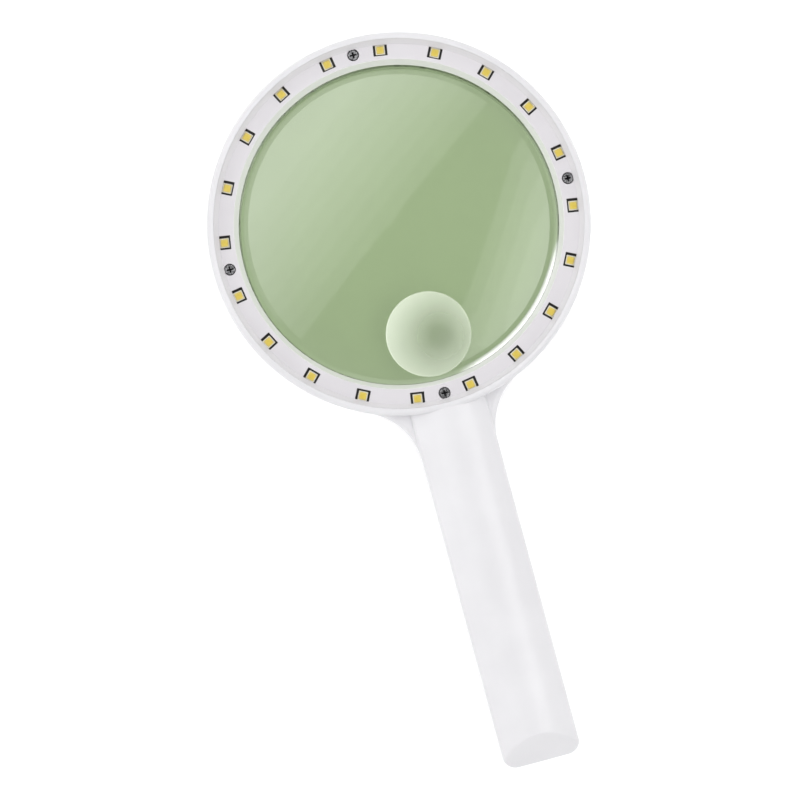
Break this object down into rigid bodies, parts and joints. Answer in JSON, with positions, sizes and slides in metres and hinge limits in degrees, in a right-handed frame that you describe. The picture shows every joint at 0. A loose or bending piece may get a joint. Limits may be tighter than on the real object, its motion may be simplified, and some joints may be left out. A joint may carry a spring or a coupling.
{
  "type": "low vision magnifier",
  "caption": "Large round hand magnifier with a lighted ring, an inset high-power lens, a flat crowned handle, a push button and a slide-off battery door.",
  "frame": {"origin": "middle of the footprint, on the surface that the back rests on", "axes": "+Z is the lighted side's normal, -Y runs down the handle, +X is to the right seen from the lighted side"},
  "size_m": [0.1556, 0.304, 0.018],
  "materials": {
    "white_shell": "moulded white ABS, soft satin gloss",
    "white_cover": "moulded white ABS, glossier than the housings",
    "main_lens": "polished clear acrylic with a green cast",
    "inset_lens": "polished clear acrylic with a green cast",
    "black_board": "black solder mask",
    "led_package": "white reflector package with yellow phosphor",
    "resistor": "matt ceramic chip",
    "dark_screw": "blackened steel",
    "grey_button": "matt soft-touch grey",
    "black_plastic": "matt moulded black",
    "switch_metal": "tinned steel can",
    "green_board": "green solder mask",
    "black_wire": "insulated wire",
    "red_wire": "insulated wire",
    "cell_jacket": "plain printed jacket, no lettering",
    "nickel": "nickel-plated spring steel",
    "spring_wire": "nickel-plated spring wire"
  },
  "bodies": {
    "housing": {"front_housing": "white_shell", "back_housing": "white_shell", "led_cover_ring": "white_cover", "main_lens": "main_lens", "inset_lens": "inset_lens", "led_board": "black_board", "led_01": "led_package", "led_02": "led_package", "led_03": "led_package", "led_04": "led_package", "led_05": "led_package", "led_06": "led_package", "led_07": "led_package", "led_08": "led_package", "led_09": "led_package", "led_10": "led_package", "led_11": "led_package", "led_12": "led_package", "led_13": "led_package", "led_14": "led_package", "led_15": "led_package", "led_16": "led_package", "led_17": "led_package", "led_18": "led_package", "led_19": "led_package", "led_20": "led_package", "led_resistors": "resistor", "cover_screws": "dark_screw", "housing_screws": "dark_screw", "switch_body": "switch_metal", "switch_board": "green_board", "control_chip": "black_plastic", "led_wire_black": "black_wire", "led_wire_red": "red_wire", "battery_left": "cell_jacket", "battery_right": "cell_jacket", "battery_rear": "cell_jacket", "positive_contact": "nickel", "negative_contact": "nickel", "link_contact": "nickel", "series_strap": "nickel", "near_spring": "spring_wire", "middle_spring": "spring_wire", "rear_spring": "spring_wire"},
    "power_button": {"power_button": "grey_button", "switch_plunger": "black_plastic"},
    "battery_door": {"battery_door": "white_shell"}
  },
  "joints": [
    {"name": "power_button_press", "type": "slide", "parent": "housing", "child": "power_button", "axis": [0, 0, 1], "range_m": [0, 0.0008], "stiffness_N_per_m": 800},
    {"name": "battery_door_slide", "type": "slide", "parent": "housing", "child": "battery_door", "axis": [0, -1, 0], "range_m": [0, 0.118]}
  ]
}
